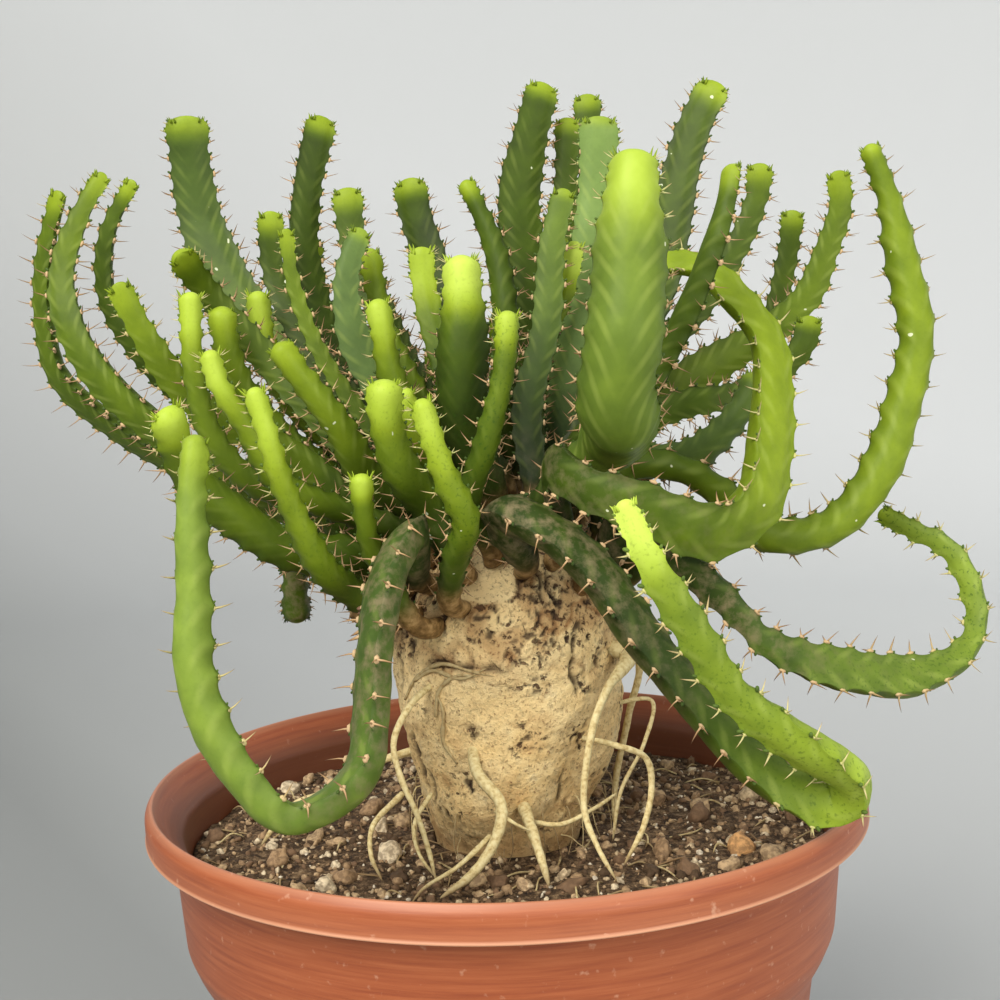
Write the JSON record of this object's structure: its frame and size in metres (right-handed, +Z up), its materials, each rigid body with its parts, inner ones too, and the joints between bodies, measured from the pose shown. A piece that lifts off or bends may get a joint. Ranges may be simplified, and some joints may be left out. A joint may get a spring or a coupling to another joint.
{
  "type": "potted euphorbia stellata",
  "caption": "Caudex succulent in a round tapered plastic pot: a swollen tan caudex with aerial roots carries a crown of flat two-edged spiny green stems that arch out and turn up.",
  "frame": {"origin": "middle of the pot's underside, where it rests", "axes": "+Z up along the pot's axis, +X to the right and -Y towards the viewer of the reference picture"},
  "size_m": [0.1896, 0.153, 0.26],
  "materials": {
    "pot": "moulded polypropylene in a terracotta colour, satin, with fine drawn lines and chalky water marks",
    "soil": "gritty potting mix of dark bark, sand and tan gravel, matt",
    "caudex": "corky tan bark with dark fissures and pits, matt; aerial roots paler and smoother",
    "old_stem": "waxy dark green skin with paler chevrons, satin; greyish corky spots with age",
    "young_stem": "waxy bright green skin that turns yellow-green at the growing tip, satin"
  },
  "bodies": {
    "root": {"pot": "pot", "soil": "soil", "caudex": "caudex", "stem_01": "old_stem", "stem_02": "old_stem", "stem_03": "old_stem", "stem_04": "old_stem", "stem_05": "old_stem", "stem_06": "old_stem", "stem_07": "young_stem", "stem_08": "old_stem", "stem_09": "young_stem", "stem_10": "young_stem", "stem_11": "young_stem", "stem_12": "old_stem", "stem_13": "young_stem", "stem_14": "old_stem", "stem_15": "old_stem", "stem_16": "old_stem", "stem_17": "old_stem", "stem_18": "old_stem", "stem_19": "old_stem", "stem_20": "old_stem", "stem_21": "old_stem", "stem_22": "old_stem", "stem_23": "young_stem", "stem_24": "young_stem", "stem_25": "young_stem", "stem_26": "old_stem", "stem_27": "young_stem", "stem_28": "young_stem", "stem_29": "young_stem", "stem_30": "young_stem", "stem_31": "old_stem", "stem_32": "young_stem", "stem_33": "old_stem", "stem_34": "old_stem", "stem_35": "old_stem", "stem_36": "old_stem", "stem_37": "old_stem", "stem_38": "young_stem", "stem_39": "young_stem", "stem_40": "old_stem", "stem_41": "old_stem", "stem_42": "old_stem", "stem_43": "old_stem", "stem_44": "old_stem", "stem_45": "old_stem", "stem_46": "old_stem", "stem_47": "old_stem", "stem_48": "old_stem", "stem_49": "old_stem", "stem_50": "old_stem", "stem_51": "old_stem", "stem_52": "old_stem", "stem_53": "old_stem", "stem_54": "old_stem", "stem_55": "old_stem", "stem_56": "old_stem"}
  },
  "joints": []
}
